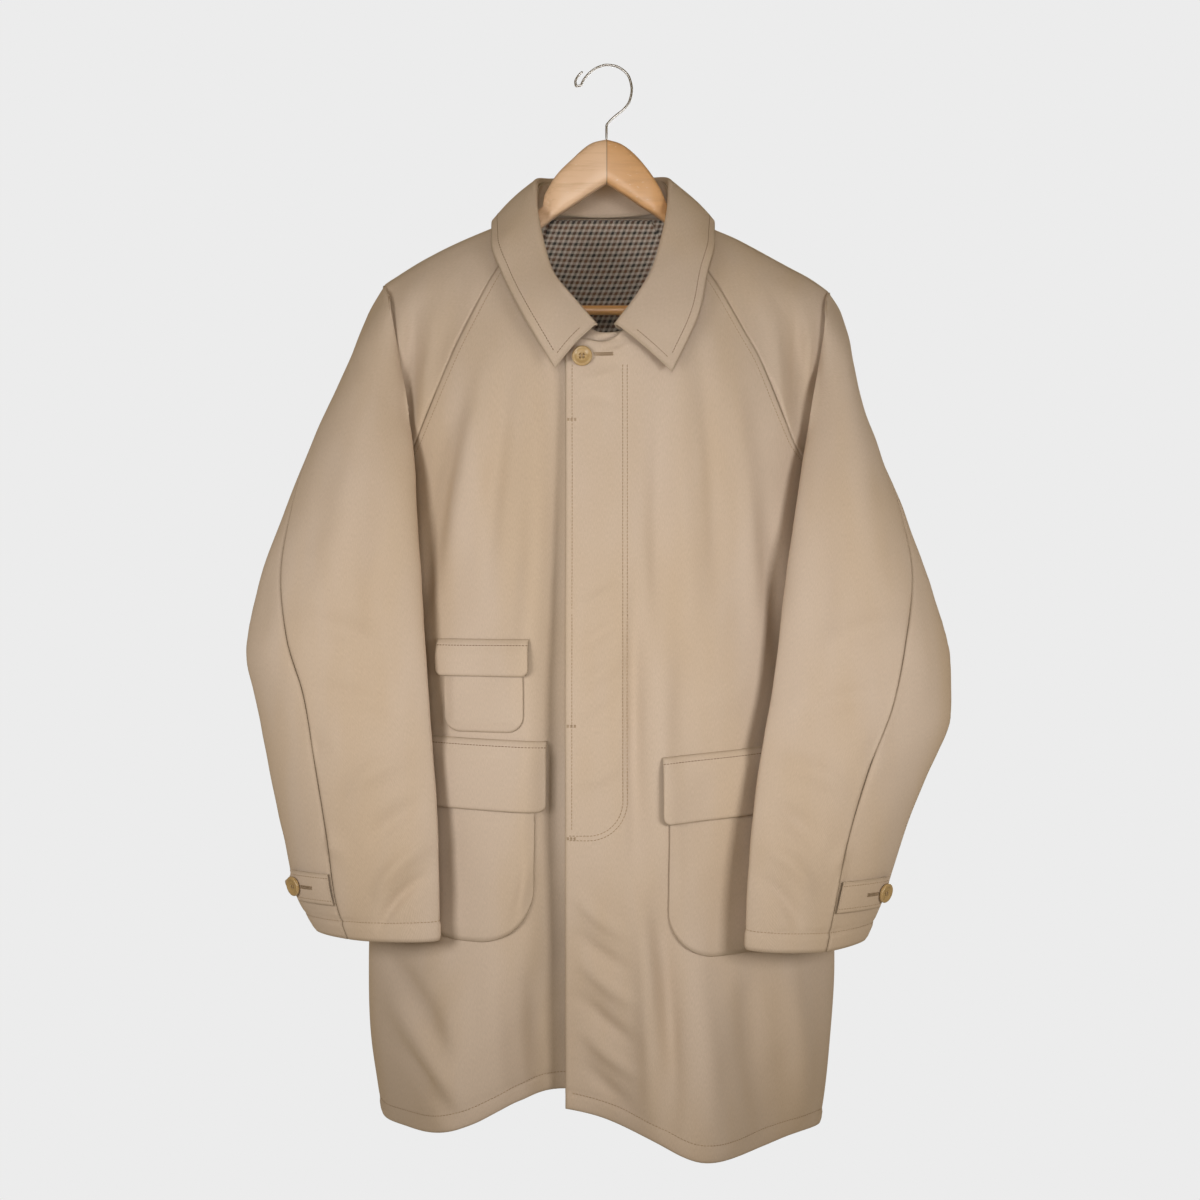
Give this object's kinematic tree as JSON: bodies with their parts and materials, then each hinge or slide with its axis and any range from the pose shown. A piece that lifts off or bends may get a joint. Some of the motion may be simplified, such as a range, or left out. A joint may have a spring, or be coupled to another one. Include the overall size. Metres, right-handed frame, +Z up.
{
  "type": "balmacaan coat on a hanger",
  "caption": "Knee-length raglan coat with a fly front, patch pockets and turned-down collar, hung on a wooden hanger with a trouser bar and a wire hook.",
  "frame": {"origin": "inside of the hook's top, where the hanger is hung", "axes": "+Z up along the hook's stem, +X to the wearer's left, the coat's front faces -Y"},
  "size_m": [0.7192, 0.2042, 1.0905],
  "materials": {
    "cloth": "smooth two-tone cotton gabardine",
    "lining": "wool tweed check",
    "wood": "varnished beech",
    "wire": "bright plated wire",
    "horn": "polished horn look"
  },
  "bodies": {
    "root": {"back": "cloth", "front_left": "cloth", "front_right": "cloth", "sleeve_left_front": "cloth", "sleeve_left_back": "cloth", "sleeve_right_front": "cloth", "sleeve_right_back": "cloth", "collar_fall": "cloth", "collar_stand": "cloth", "hip_pocket_right": "cloth", "hip_flap_right": "cloth", "hip_pocket_left": "cloth", "hip_flap_left": "cloth", "ticket_pocket": "cloth", "ticket_flap": "cloth", "cuff_tab_left": "cloth", "cuff_tab_right": "cloth", "lining_back": "lining", "hanger_yoke": "wood", "hanger_bar": "wood", "hanger_hook": "wire", "button_neck": "horn", "button_cuff_left": "horn", "button_cuff_right": "horn"}
  },
  "joints": []
}
